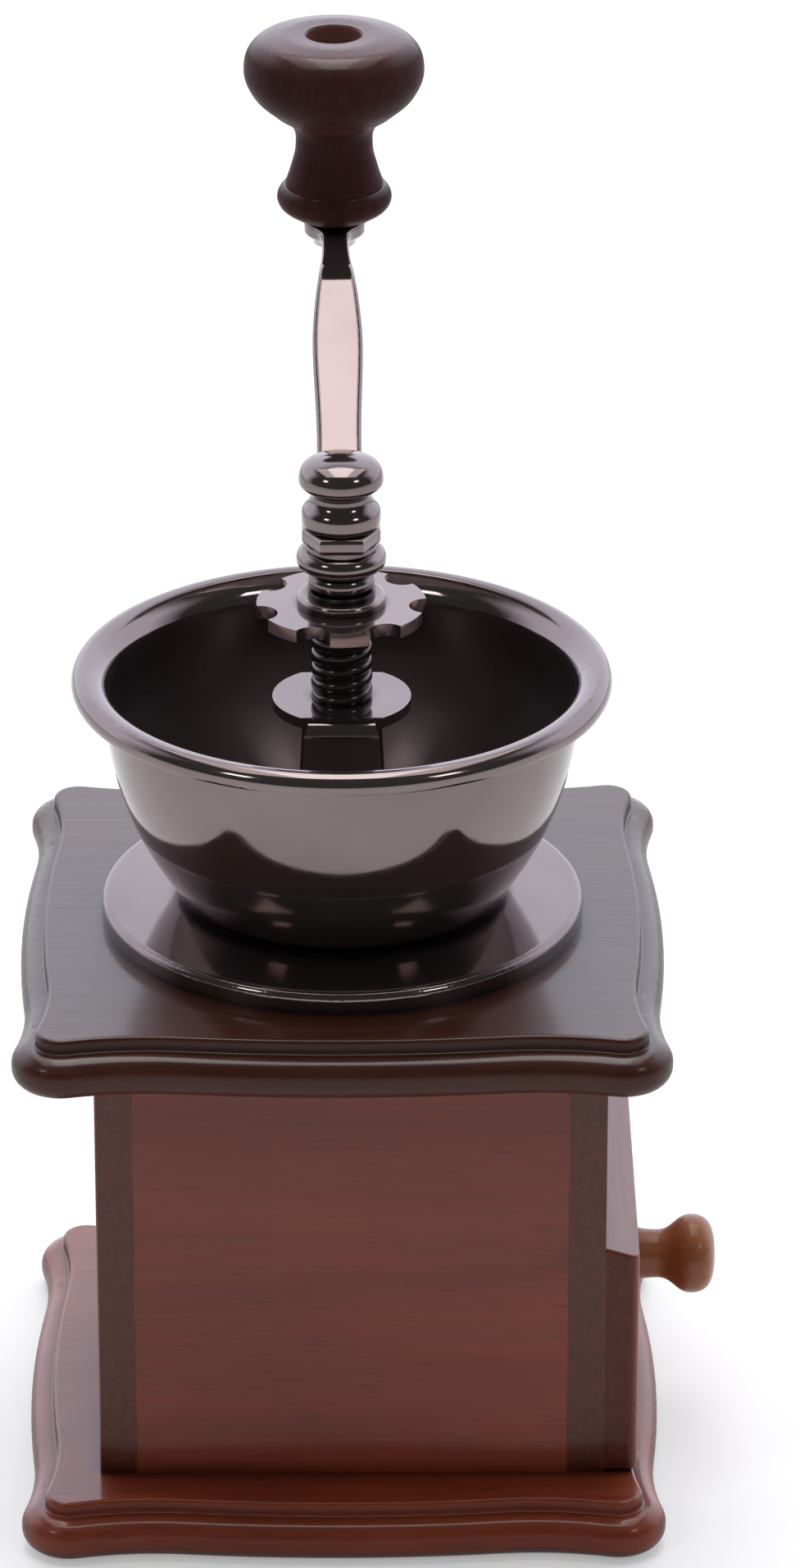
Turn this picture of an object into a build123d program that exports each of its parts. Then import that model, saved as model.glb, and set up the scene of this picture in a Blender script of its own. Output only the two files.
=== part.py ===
from build123d import *
import math
import os

# Hand-cranked box coffee mill. Millimetres, +Z up.
# The origin is the centre of the base's underside, on the spindle's axis; the drawer opens towards +X.

# Moulded plates: a waved outline with a bullnose bead below a set-back deck
plate_side = 120.0
plate_thickness = 10.6
plate_corner = 9.0
plate_dip = 1.8
plate_dip_radius = 60.0
bead_height = 7.9
bead_round = 3.6
deck_inset = 4.4
deck_round = 0.8
cove_round = 0.5

# Box of boards between the plates
box_length = 94.0
box_shift = 1.5
box_depth = 88.0
box_height = 85.2
board = 7.0
panel = 7.0
board_round = 0.6

# Drawer
drawer_gap = 0.3
drawer_front_height = 46.7
drawer_front_thickness = 6.3
drawer_front_bevel = 1.9
drawer_front_round = 2.0
drawer_wall_height = 37.0
drawer_back_gap = 4.0
drawer_wall = 5.0
drawer_floor = 3.0
drawer_knob_length = 16.0
drawer_knob_foot = 5.4
drawer_knob_neck = 4.6
drawer_knob_neck_level = 5.0
drawer_knob_head = 7.5
drawer_knob_head_level = 11.5
drawer_knob_hole_depth = 9.0
drawer_screw_radius = 1.6
drawer_screw_head_radius = 3.2
drawer_screw_head_height = 1.8

# Screws and dowels that hold the plates to the boards
base_screw_radius = 1.6
base_screw_head_radius = 3.2
base_screw_head_height = 2.0
base_screw_sink = 0.5
base_screw_length = 26.0
base_screw_spread = 30.0
dowel_radius = 2.0
dowel_depth = 8.0
dowel_spread = 30.0

# Hopper: a spun bowl on a flanged foot
foot_radius = 44.9
foot_edge = 4.0
foot_round = 1.5
foot_height = 5.4
foot_neck_radius = 28.6
foot_slope = 0.6
foot_flare = 2.0
bowl_sheet = 1.4
bowl_height = 39.0
bowl_mouth_radius = 43.2
bowl_wall_radius = 60.0
bowl_floor_round = 3.0
lip_radius = 4.3
lip_roll_radius = 1.7
lip_roll_angle = 120.0
throat_radius = 17.0

# Bridge over the throat: a bent strip with a round pad
strip = 2.0
pad_radius = 12.8
pad_height = 38.2
leg_top_width = 12.3
leg_foot_width = 16.0
leg_top_reach = 12.2
leg_foot_reach = 15.0
foot_reach = 25.0
strip_bend = 2.5
bridge_screw_radius = 1.5
bridge_screw_head_radius = 3.0
bridge_screw_head_height = 1.8
bridge_screw_head_round = 0.9
bridge_screw_length = 9.0

# Threaded pillar and grind-adjusting wheel
pillar_radius = 5.7
pillar_recess = 1.4
pillar_spigot_radius = 5.0
thread_lead = 2.8
thread_depth = 0.5
wheel_radius = 15.6
wheel_thickness = 2.4
wheel_notches = 7
notch_start = -6.8
notch_radius = 3.3
notch_depth = 3.1
wheel_hub_radius = 8.2
wheel_hub_height = 1.9
wheel_hub_round = 0.8
wheel_height = 16.3
thread_clearance = 0.08

# Burr set
housing_radius = 24.0
housing_flange_radius = 31.0
housing_flange = 4.0
housing_ledge = 2.0
housing_ledge_width = 2.0
housing_gap = 0.3
outer_burr_radius = 17.2
outer_burr_height = 14.0
outer_burr_mouth = 16.0
outer_burr_land = 4.0
outer_burr_flutes = 16
inner_burr_level = 1.0
inner_burr_radius = 13.0
inner_burr_land = 3.0
inner_burr_cone = 14.0
inner_burr_boss = 4.0
inner_burr_boss_radius = 7.2
inner_burr_flutes = 9
burr_gap = 0.9
flute_radius = 1.4
flute_depth = 0.7
burr_nut_flats = 13.0
burr_nut_height = 4.0

# Spring between bridge and inner burr
spring_wire = 1.4
spring_radius = 5.8
spring_turns = 7
spring_seat_gap = 0.1

# Spindle, collar and crank
spindle_radius = 3.5
spindle_tail = 2.0
spindle_chamfer = 0.7
running_fit = 0.05
housing_fit = 0.4
washer_radius = 6.2
washer_thickness = 1.0
collar_height = 9.1
collar_bead_radius = 6.2
collar_bead_height = 3.6
collar_groove_radius = 5.2
collar_groove_height = 0.6
collar_ring_radius = 8.3
collar_neck_radius = 6.6
collar_neck_height = 0.9
arm_thickness = 3.2
arm_rise = 30.0
arm_bend = 14.0
arm_hub_width = 14.4
arm_hub_flat = 8.0
arm_hub_reach = 7.35
arm_hub_chamfer = 6.2
arm_hub_length = 6.0
arm_root_width = 8.6
arm_middle_width = 9.4
arm_neck_width = 5.2
arm_neck_setback = 11.6
arm_eye_radius = 5.8
arm_eye_fillet = 7.0
arm_foot = 12.0
arm_flat = 28.0
arm_edge_round = 1.0
crank_radius = 80.0
crank_angle = 90.9
dome_nut_height = 13.6
dome_nut_foot_radius = 6.6
dome_nut_bead_radius = 7.3
dome_nut_bead_level = 2.6
dome_nut_waist_radius = 5.7
dome_nut_waist_level = 6.2
dome_radius = 7.8
dome_level = 9.2
dome_shoulder_radius = 5.4
dome_shoulder_level = 12.8
dome_nut_roof = 5.0

# Crank knob and the pin that it turns on
knob_height = 36.5
knob_foot_radius = 6.4
knob_ring_radius = 10.9
knob_ring_level = 4.6
knob_waist_radius = 7.5
knob_waist_level = 14.7
knob_head_radius = 17.1
knob_head_level = 30.2
knob_top_radius = 10.5
knob_sink_radius = 5.2
knob_sink_depth = 6.0
knob_seat_gap = 0.3
pin_radius = 3.0
pin_head_radius = 4.6
pin_head_height = 2.4
pin_tail_radius = 2.4
pin_rivet_radius = 4.0
pin_rivet_height = 1.6

# Levels that follow from the sizes above
box_bottom = plate_thickness
box_top = box_bottom + box_height
deck_top = box_top + plate_thickness
floor_under = deck_top + foot_height
floor_top = floor_under + bowl_sheet
pad_top = floor_under + pad_height
pad_under = pad_top - strip
wheel_under = pad_top + wheel_height
wheel_top = wheel_under + wheel_thickness
hub_top = wheel_top + wheel_hub_height
pillar_top = hub_top - pillar_recess
collar_under = hub_top + washer_thickness
arm_under = collar_under + collar_height
arm_top = arm_under + arm_thickness
eye_top = arm_top + arm_rise
eye_under = eye_top - arm_thickness
knob_under = eye_top + knob_seat_gap
knob_top = knob_under + knob_height

# Places of the box's faces
box_back = box_shift - box_length / 2
box_front = box_shift + box_length / 2
drawer_front_face = box_front + drawer_front_thickness
inner_half = box_depth / 2 - panel
drawer_half = inner_half - drawer_gap
drawer_under = box_bottom + drawer_gap
drawer_front_top = drawer_under + drawer_front_height
drawer_wall_top = drawer_under + drawer_wall_height
drawer_back_face = box_back + board + drawer_back_gap
drawer_front_lip = drawer_front_top - drawer_front_bevel
drawer_knob_height = (drawer_under + drawer_front_lip) / 2
back_board_middle = box_back + board / 2
front_board_middle = box_front - board / 2
stile_middle = box_depth / 2 - panel / 2
base_screw_places = [
    (back_board_middle, -base_screw_spread),
    (back_board_middle, base_screw_spread),
    (front_board_middle, -stile_middle),
    (front_board_middle, stile_middle),
]
dowel_places = [
    (back_board_middle, -dowel_spread),
    (back_board_middle, dowel_spread),
    (front_board_middle, -dowel_spread),
    (front_board_middle, dowel_spread),
]

# Radii and levels inside the burr housing
spindle_bore = spindle_radius + running_fit
housing_bore = outer_burr_radius + running_fit
housing_under = box_top - housing_flange
housing_top = floor_under - housing_gap
housing_hole = housing_radius + housing_fit
outer_burr_under = housing_under + housing_ledge
outer_burr_top = outer_burr_under + outer_burr_height
inner_burr_under = housing_under + inner_burr_level
inner_burr_shoulder = inner_burr_under + inner_burr_land
inner_burr_waist = inner_burr_shoulder + inner_burr_cone
inner_burr_top = inner_burr_waist + inner_burr_boss
bridge_screw_reach = (throat_radius + housing_radius) / 2

# Planes of the crank: its side view and its plan
arm_direction = Vector(1, 0, 0).rotate(Axis.Z, crank_angle)
arm_normal = arm_direction.rotate(Axis.Z, -90)
arm_side = Plane(origin=(0, 0, 0), x_dir=arm_direction, z_dir=arm_normal)
arm_plan = Plane(origin=(0, 0, 0), x_dir=arm_direction, z_dir=(0, 0, 1))
knob_centre = arm_direction * crank_radius
knob_side = Plane(origin=knob_centre, x_dir=arm_direction, z_dir=arm_normal)
knob_axis = Axis(knob_centre, (0, 0, 1))


def waved_face(inset, height):
    """A plate's outline at a height: rounded corners, and a dip on each side of every crown."""
    half = plate_side / 2
    corner = half - plate_corner
    fall = math.acos(1 - plate_dip / (plate_corner + plate_dip_radius))
    dip = corner - (plate_corner + plate_dip_radius) * math.sin(fall)
    climb = 2 * math.atan(plate_dip / dip)
    crown_radius = dip / math.sin(climb) - plate_dip_radius
    dip_centre = half - plate_dip + plate_dip_radius
    fall_degrees = math.degrees(fall)
    climb_degrees = math.degrees(climb)
    sweep_degrees = fall_degrees + climb_degrees
    with BuildSketch(Plane.XY.offset(height)) as outline:
        with BuildLine():
            for turn in (0, 90, 180, 270):
                corner_centre = Vector(corner, corner).rotate(Axis.Z, turn)
                right_centre = Vector(dip, dip_centre).rotate(Axis.Z, turn)
                crown_centre = Vector(0, half - crown_radius).rotate(Axis.Z, turn)
                left_centre = Vector(-dip, dip_centre).rotate(Axis.Z, turn)
                CenterArc(corner_centre, plate_corner - inset, turn - fall_degrees, 90 + 2 * fall_degrees)
                CenterArc(right_centre, plate_dip_radius + inset, turn + 270 - climb_degrees, sweep_degrees)
                CenterArc(crown_centre, crown_radius - inset, turn + 90 - climb_degrees, 2 * climb_degrees)
                CenterArc(left_centre, plate_dip_radius + inset, turn + 270 - fall_degrees, sweep_degrees)
        make_face()
    return outline.sketch


def moulded_plate(under):
    """A plate's moulding with its flat underside at a height: a bullnose bead and a set-back deck."""
    with BuildPart() as moulding:
        extrude(waved_face(0, under), amount=bead_height)
        ends = moulding.faces().sort_by(Axis.Z)
        fillet(ends[0].edges() + ends[-1].edges(), bead_round)
        extrude(waved_face(deck_inset, under), amount=plate_thickness)
        cove_level = under + bead_height
        fillet(moulding.edges().filter_by_position(Axis.Z, cove_level, cove_level), cove_round)
        fillet(moulding.faces().sort_by(Axis.Z)[-1].edges(), deck_round)
    return moulding.part


def turned_side(*stations):
    """Draw the side of a turned piece through its stations, each a place and the heading there."""
    for (start, heading), (end, leaving) in zip(stations, stations[1:]):
        Spline(start, end, tangents=(heading, leaving))


def box_between(low, high):
    """Add a block that spans two opposite corners."""
    size = [high[i] - low[i] for i in range(3)]
    middle = [(high[i] + low[i]) / 2 for i in range(3)]
    with Locations(tuple(middle)):
        Box(*size)


# Base plate, with countersunk holes from below
with BuildPart() as base_plate:
    add(moulded_plate(0))
    with BuildSketch(Plane.XZ):
        with BuildLine():
            Polyline(
                (0, 0),
                (base_screw_head_radius + running_fit, 0),
                (base_screw_head_radius + running_fit, base_screw_sink),
                (base_screw_radius + running_fit, base_screw_sink + base_screw_head_height),
                (base_screw_radius + running_fit, plate_thickness),
                (0, plate_thickness),
                close=True,
            )
        make_face()
    hole = revolve(axis=Axis.Z, mode=Mode.PRIVATE)
    with Locations(*[(x, y, 0) for x, y in base_screw_places]):
        add(hole, mode=Mode.SUBTRACT)
base_plate.part.label = "base_plate"

# Top plate, bored for the burr housing and for the dowels
with BuildPart() as top_plate:
    add(moulded_plate(box_top))
    with BuildSketch(Plane.XY.offset(box_top)):
        Circle(housing_hole)
    extrude(amount=plate_thickness, mode=Mode.SUBTRACT)
    with BuildSketch(Plane.XY.offset(box_top)):
        with Locations(*dowel_places):
            Circle(dowel_radius + running_fit)
    extrude(amount=dowel_depth + running_fit, mode=Mode.SUBTRACT)
top_plate.part.label = "top_plate"

# Holes that the boards share: for the base's screws from below and the dowels from above
screw_depth = base_screw_length - plate_thickness + running_fit
board_screw_hole = Pos(0, 0, screw_depth / 2) * Cylinder(base_screw_radius + running_fit, screw_depth)
board_dowel_hole = Cylinder(dowel_radius + running_fit, 2 * (dowel_depth + running_fit))

# Back board: full width, with its end grain on the near face
with BuildPart() as back_board:
    box_between(
        (box_back, -box_depth / 2, box_bottom),
        (box_back + board, box_depth / 2, box_top),
    )
    fillet(back_board.edges().filter_by(Axis.Z).group_by(Axis.X)[0], board_round)
    with Locations(*[(x, y, box_bottom) for x, y in base_screw_places]):
        add(board_screw_hole, mode=Mode.SUBTRACT)
    with Locations(*[(x, y, box_top) for x, y in dowel_places]):
        add(board_dowel_hole, mode=Mode.SUBTRACT)
back_board.part.label = "back_board"

# Front board: an arch of two stiles and a top rail around the drawer's opening
with BuildPart() as front_board:
    box_between(
        (box_front - board, -box_depth / 2, box_bottom),
        (box_front, box_depth / 2, box_top),
    )
    with BuildSketch(Plane.YZ.offset(box_front)):
        with Locations((0, (box_bottom + drawer_wall_top + drawer_gap) / 2)):
            Rectangle(2 * inner_half, drawer_wall_top + drawer_gap - box_bottom)
    extrude(amount=-board, mode=Mode.SUBTRACT)
    with Locations(*[(x, y, box_bottom) for x, y in base_screw_places]):
        add(board_screw_hole, mode=Mode.SUBTRACT)
    with Locations(*[(x, y, box_top) for x, y in dowel_places]):
        add(board_dowel_hole, mode=Mode.SUBTRACT)
front_board.part.label = "front_board"

# Side panels, held between the two boards
with BuildPart() as near_panel:
    box_between(
        (box_back + board, -box_depth / 2, box_bottom),
        (box_front - board, -inner_half, box_top),
    )
near_panel.part.label = "near_panel"

with BuildPart() as far_panel:
    box_between(
        (box_back + board, inner_half, box_bottom),
        (box_front - board, box_depth / 2, box_top),
    )
far_panel.part.label = "far_panel"

# Countersunk screws up through the base into the boards
with BuildPart() as base_screws:
    with BuildSketch(Plane.XZ):
        with BuildLine():
            Polyline(
                (0, base_screw_sink),
                (base_screw_head_radius, base_screw_sink),
                (base_screw_radius, base_screw_sink + base_screw_head_height),
                (base_screw_radius, base_screw_length),
                (0, base_screw_length),
                close=True,
            )
        make_face()
    screw = revolve(axis=Axis.Z, mode=Mode.PRIVATE)
    with Locations(*[(x, y, 0) for x, y in base_screw_places]):
        add(screw)
base_screws.part.label = "base_screws"

# Dowels between the boards and the top plate
with BuildPart() as top_dowels:
    with Locations(*[(x, y, box_top) for x, y in dowel_places]):
        Cylinder(dowel_radius, 2 * dowel_depth)
top_dowels.part.label = "top_dowels"

# Drawer front: overlay board with a top that falls outwards, bored for the knob's screw
with BuildPart() as drawer_front:
    with BuildSketch(Plane.XZ):
        with BuildLine():
            Polyline(
                (box_front, drawer_under),
                (drawer_front_face, drawer_under),
                (drawer_front_face, drawer_front_lip),
                (box_front, drawer_front_top),
                close=True,
            )
        make_face()
    extrude(amount=box_depth / 2, both=True)
    fillet(drawer_front.edges().filter_by(Axis.Z).group_by(Axis.X)[-1], drawer_front_round)
    fillet(drawer_front.faces().sort_by(Axis.Z)[0].edges().group_by(Axis.X)[-1], board_round)
    fillet(drawer_front.faces().sort_by(Axis.Z)[-1].edges().group_by(Axis.X)[-1], board_round)
    with BuildSketch(Plane.YZ.offset(box_front)):
        with Locations((0, drawer_knob_height)):
            Circle(drawer_screw_radius + running_fit)
    extrude(amount=drawer_front_thickness, mode=Mode.SUBTRACT)
drawer_front.part.label = "drawer_front"

# Drawer walls and floor, butted behind the front
with BuildPart() as drawer_near_side:
    box_between(
        (drawer_back_face, -drawer_half, drawer_under),
        (box_front, -drawer_half + drawer_wall, drawer_wall_top),
    )
drawer_near_side.part.label = "drawer_near_side"

with BuildPart() as drawer_far_side:
    box_between(
        (drawer_back_face, drawer_half - drawer_wall, drawer_under),
        (box_front, drawer_half, drawer_wall_top),
    )
drawer_far_side.part.label = "drawer_far_side"

with BuildPart() as drawer_back:
    box_between(
        (drawer_back_face, -drawer_half + drawer_wall, drawer_under),
        (drawer_back_face + drawer_wall, drawer_half - drawer_wall, drawer_wall_top),
    )
drawer_back.part.label = "drawer_back"

with BuildPart() as drawer_bottom:
    box_between(
        (drawer_back_face + drawer_wall, -drawer_half + drawer_wall, drawer_under),
        (box_front, drawer_half - drawer_wall, drawer_under + drawer_floor),
    )
drawer_bottom.part.label = "drawer_bottom"

# Drawer knob, turned about the X axis
knob_line = Axis((drawer_front_face, 0, drawer_knob_height), (1, 0, 0))
with BuildPart() as drawer_knob:
    with BuildSketch(Plane.XZ.shift_origin((drawer_front_face, 0, drawer_knob_height))):
        with BuildLine():
            Polyline((drawer_knob_length, 0), (0, 0), (0, drawer_knob_foot))
            turned_side(
                ((0, drawer_knob_foot), (1, -0.4)),
                ((drawer_knob_neck_level, drawer_knob_neck), (1, 0)),
                ((drawer_knob_head_level, drawer_knob_head), (1, 0)),
                ((drawer_knob_length, 0), (0, -1)),
            )
        make_face()
    revolve(axis=knob_line)
    with BuildSketch(Plane.YZ.offset(drawer_front_face)):
        with Locations((0, drawer_knob_height)):
            Circle(drawer_screw_radius + running_fit)
    extrude(amount=drawer_knob_hole_depth + running_fit, mode=Mode.SUBTRACT)
drawer_knob.part.label = "drawer_knob"

# Screw from inside the drawer into its knob
with BuildPart() as drawer_knob_screw:
    with BuildSketch(Plane.YZ.offset(box_front)):
        with Locations((0, drawer_knob_height)):
            Circle(drawer_screw_head_radius)
    extrude(amount=-drawer_screw_head_height)
    with BuildSketch(Plane.YZ.offset(box_front)):
        with Locations((0, drawer_knob_height)):
            Circle(drawer_screw_radius)
    extrude(amount=drawer_front_thickness + drawer_knob_hole_depth)
drawer_knob_screw.part.label = "drawer_knob_screw"

# Hopper foot: a flanged ring with a short flared neck
with BuildPart() as hopper_foot:
    with BuildSketch(Plane.XZ):
        with BuildLine():
            rim = Polyline(
                (foot_neck_radius, floor_under),
                (housing_hole, floor_under),
                (housing_hole, deck_top),
                (foot_radius, deck_top),
                (foot_radius, deck_top + foot_edge),
                (foot_neck_radius + foot_flare, deck_top + foot_edge + foot_slope),
            )
            TangentArc(rim @ 1, (foot_neck_radius, floor_under), tangent=rim % 1)
        make_face()
    revolve(axis=Axis.Z)
    outer_edges = hopper_foot.edges().filter_by(GeomType.CIRCLE).group_by(SortBy.RADIUS)[-1]
    fillet(outer_edges.sort_by(Axis.Z)[-1], foot_round)
hopper_foot.part.label = "hopper_foot"

# Hopper bowl: one sheet spun into a floor, a curved wall and a rolled lip
with BuildPart() as hopper_bowl:
    floor_middle = floor_under + bowl_sheet / 2
    lip_start = floor_under + bowl_height
    wall_centre = Vector(bowl_mouth_radius - bowl_wall_radius, lip_start)
    round_height = floor_middle + bowl_floor_round
    round_reach = math.sqrt((bowl_wall_radius - bowl_floor_round) ** 2 - (lip_start - round_height) ** 2)
    round_centre = Vector(wall_centre.X + round_reach, round_height)
    wall_turn = math.degrees(math.atan2(lip_start - round_height, round_reach))
    lip_centre = (bowl_mouth_radius + lip_radius, lip_start)
    roll_centre = (bowl_mouth_radius + lip_radius, lip_start + lip_radius - lip_roll_radius)
    with BuildSketch(Plane.XZ):
        with BuildLine():
            inner_ends, outer_ends = [], []
            for side, ends in ((bowl_sheet / 2, inner_ends), (-bowl_sheet / 2, outer_ends)):
                floor_line = Line((throat_radius, floor_middle + side), (round_centre.X, floor_middle + side))
                CenterArc(round_centre, bowl_floor_round - side, 270, 90 - wall_turn)
                CenterArc(wall_centre, bowl_wall_radius - side, -wall_turn, wall_turn)
                CenterArc(lip_centre, lip_radius + side, 180, -90)
                roll = CenterArc(roll_centre, lip_roll_radius + side, 90, -lip_roll_angle)
                ends += [floor_line @ 0, roll @ 1]
            Line(inner_ends[0], outer_ends[0])
            Line(inner_ends[1], outer_ends[1])
        make_face()
    revolve(axis=Axis.Z)
    with BuildSketch(Plane.XY.offset(floor_under)):
        with Locations((0, bridge_screw_reach), (0, -bridge_screw_reach)):
            Circle(bridge_screw_radius + running_fit)
    extrude(amount=bowl_sheet, mode=Mode.SUBTRACT)
hopper_bowl.part.label = "hopper_bowl"

# Bridge: a strip bent into two splayed legs, cut to a round pad and widening feet
with BuildPart() as bridge:
    with BuildSketch(Plane.YZ):
        with BuildLine():
            FilletPolyline(
                (-foot_reach, floor_top + strip / 2),
                (-leg_foot_reach, floor_top + strip / 2),
                (-leg_top_reach, pad_top - strip / 2),
                (leg_top_reach, pad_top - strip / 2),
                (leg_foot_reach, floor_top + strip / 2),
                (foot_reach, floor_top + strip / 2),
                radius=strip_bend,
            )
        trace(line_width=strip)
    extrude(amount=pad_radius, both=True)
    with BuildSketch(Plane.XY.offset(floor_top)):
        Circle(pad_radius)
        with BuildLine():
            Polyline(
                (leg_top_width / 2, -leg_top_reach),
                (leg_top_width / 2, leg_top_reach),
                (leg_foot_width / 2, leg_foot_reach),
                (leg_foot_width / 2, foot_reach),
                (-leg_foot_width / 2, foot_reach),
                (-leg_foot_width / 2, leg_foot_reach),
                (-leg_top_width / 2, leg_top_reach),
                (-leg_top_width / 2, -leg_top_reach),
                (-leg_foot_width / 2, -leg_foot_reach),
                (-leg_foot_width / 2, -foot_reach),
                (leg_foot_width / 2, -foot_reach),
                (leg_foot_width / 2, -leg_foot_reach),
                close=True,
            )
        make_face()
    extrude(amount=pad_top - floor_top, mode=Mode.INTERSECT)
    with BuildSketch(Plane.XY.offset(floor_top)):
        with Locations((0, bridge_screw_reach), (0, -bridge_screw_reach)):
            Circle(bridge_screw_radius + running_fit)
    extrude(amount=strip, mode=Mode.SUBTRACT)
    with BuildSketch(Plane.XY.offset(pad_under)):
        Circle(pillar_spigot_radius + running_fit)
    extrude(amount=strip, mode=Mode.SUBTRACT)
bridge.part.label = "bridge"

# Screws through the bridge's feet and the bowl's floor into the burr housing
with BuildPart() as bridge_screws:
    with BuildSketch(Plane.XY.offset(floor_top + strip)):
        with Locations((0, bridge_screw_reach), (0, -bridge_screw_reach)):
            Circle(bridge_screw_head_radius)
    extrude(amount=bridge_screw_head_height)
    fillet(bridge_screws.faces().group_by(Axis.Z)[-1].edges(), bridge_screw_head_round)
    with BuildSketch(Plane.XY.offset(floor_top + strip)):
        with Locations((0, bridge_screw_reach), (0, -bridge_screw_reach)):
            Circle(bridge_screw_radius)
    extrude(amount=-bridge_screw_length)
bridge_screws.part.label = "bridge_screws"

# Threaded pillar, staked into the bridge's pad, with the spindle's bearing bore
with BuildPart() as threaded_pillar:
    with BuildSketch(Plane.XY.offset(pad_under)):
        Circle(pillar_spigot_radius)
    extrude(amount=strip)
    with BuildSketch(Plane.XY.offset(pad_top)):
        Circle(pillar_radius)
    extrude(amount=pillar_top - pad_top)
    turn_height = pad_top + thread_lead / 2
    while turn_height < pillar_top - thread_lead / 2:
        with BuildSketch(Plane.XZ):
            with BuildLine():
                Polyline(
                    (pillar_radius, turn_height - thread_depth),
                    (pillar_radius - thread_depth, turn_height),
                    (pillar_radius, turn_height + thread_depth),
                    (pillar_radius + thread_depth, turn_height),
                    close=True,
                )
            make_face()
        revolve(axis=Axis.Z, mode=Mode.SUBTRACT)
        turn_height += thread_lead
    with BuildSketch(Plane.XY.offset(pad_under)):
        Circle(spindle_bore)
    extrude(amount=pillar_top - pad_under, mode=Mode.SUBTRACT)
threaded_pillar.part.label = "threaded_pillar"

# Adjusting wheel: a notched disc with a hub, screwed on the pillar
with BuildPart() as adjusting_wheel:
    with BuildSketch(Plane.XY.offset(wheel_under)):
        Circle(wheel_radius)
        notch_reach = wheel_radius - notch_depth + notch_radius
        with PolarLocations(notch_reach, wheel_notches, start_angle=notch_start):
            SlotCenterPoint((notch_depth, 0), (0, 0), 2 * notch_radius, mode=Mode.SUBTRACT)
    extrude(amount=wheel_thickness)
    with BuildSketch(Plane.XY.offset(wheel_top)):
        Circle(wheel_hub_radius)
    extrude(amount=wheel_hub_height)
    fillet(adjusting_wheel.faces().sort_by(Axis.Z)[-1].edges(), wheel_hub_round)
    with BuildSketch(Plane.XY.offset(wheel_under)):
        Circle(pillar_radius + thread_clearance)
    extrude(amount=wheel_thickness + wheel_hub_height, mode=Mode.SUBTRACT)
adjusting_wheel.part.label = "adjusting_wheel"

# Thrust washer between the wheel's hub and the spindle's collar
with BuildPart() as thrust_washer:
    with BuildSketch(Plane.XY.offset(hub_top)):
        Circle(washer_radius)
        Circle(spindle_bore, mode=Mode.SUBTRACT)
    extrude(amount=washer_thickness)
thrust_washer.part.label = "thrust_washer"

# Spindle collar: a turned bead, a groove and a wide ring under the crank
with BuildPart() as spindle_collar:
    with BuildSketch(Plane.XZ):
        with BuildLine():
            Polyline(
                (collar_neck_radius, arm_under),
                (spindle_bore, arm_under),
                (spindle_bore, collar_under),
                (collar_groove_radius, collar_under),
            )
            bead_top = collar_under + collar_bead_height
            ring_under = bead_top + collar_groove_height
            ring_top = arm_under - collar_neck_height
            ThreePointArc(
                (collar_groove_radius, collar_under),
                (collar_bead_radius, (collar_under + bead_top) / 2),
                (collar_groove_radius, bead_top),
            )
            Line((collar_groove_radius, bead_top), (collar_groove_radius, ring_under))
            ThreePointArc(
                (collar_groove_radius, ring_under),
                (collar_ring_radius, (ring_under + ring_top) / 2),
                (collar_neck_radius, ring_top),
            )
            Line((collar_neck_radius, ring_top), (collar_neck_radius, arm_under))
        make_face()
    revolve(axis=Axis.Z)
spindle_collar.part.label = "spindle_collar"

# Crank arm: a flat bar, stepped up from its hub to its eye, drawn on the crank's own planes
with BuildPart() as crank_arm:
    with BuildSketch(arm_side):
        with BuildLine():
            FilletPolyline(
                (-arm_hub_reach, arm_top - arm_thickness / 2),
                (arm_foot, arm_top - arm_thickness / 2),
                (crank_radius - arm_flat, eye_top - arm_thickness / 2),
                (crank_radius + arm_eye_radius, eye_top - arm_thickness / 2),
                radius=arm_bend,
            )
        trace(line_width=arm_thickness)
    extrude(amount=arm_hub_width, both=True)
    with BuildSketch(arm_plan.offset(arm_under)) as arm_outline:
        with BuildLine():
            hub_end = Polyline(
                (-arm_hub_reach, 0),
                (-arm_hub_reach, arm_hub_flat / 2),
                (-arm_hub_reach + arm_hub_chamfer, arm_hub_width / 2),
                (arm_hub_length, arm_hub_width / 2),
            )
            Spline(
                hub_end @ 1,
                (arm_foot + arm_hub_length, arm_root_width / 2),
                (crank_radius / 2, arm_middle_width / 2),
                (crank_radius - arm_neck_setback, arm_neck_width / 2),
                tangents=((1, -0.5), (1, 0)),
            )
            Polyline(
                (crank_radius - arm_neck_setback, arm_neck_width / 2),
                (crank_radius, arm_neck_width / 2),
                (crank_radius, 0),
                (-arm_hub_reach, 0),
            )
        make_face()
        mirror(about=Plane.XZ)
        with Locations((crank_radius, 0)):
            Circle(arm_eye_radius)
        neck = arm_outline.vertices().sort_by_distance((crank_radius - arm_eye_radius, 0))[0:2]
        fillet(neck, arm_eye_fillet)
    extrude(amount=eye_top - arm_under, mode=Mode.INTERSECT)
    fillet(crank_arm.edges().filter_by(Axis.Z, reverse=True), arm_edge_round)
    with BuildSketch(Plane.XY.offset(arm_under)):
        Circle(spindle_bore)
    extrude(amount=arm_thickness, mode=Mode.SUBTRACT)
    with BuildSketch(arm_plan.offset(eye_under)):
        with Locations((crank_radius, 0)):
            Circle(pin_tail_radius + running_fit)
    extrude(amount=arm_thickness, mode=Mode.SUBTRACT)
crank_arm.part.label = "crank_arm"

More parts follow.
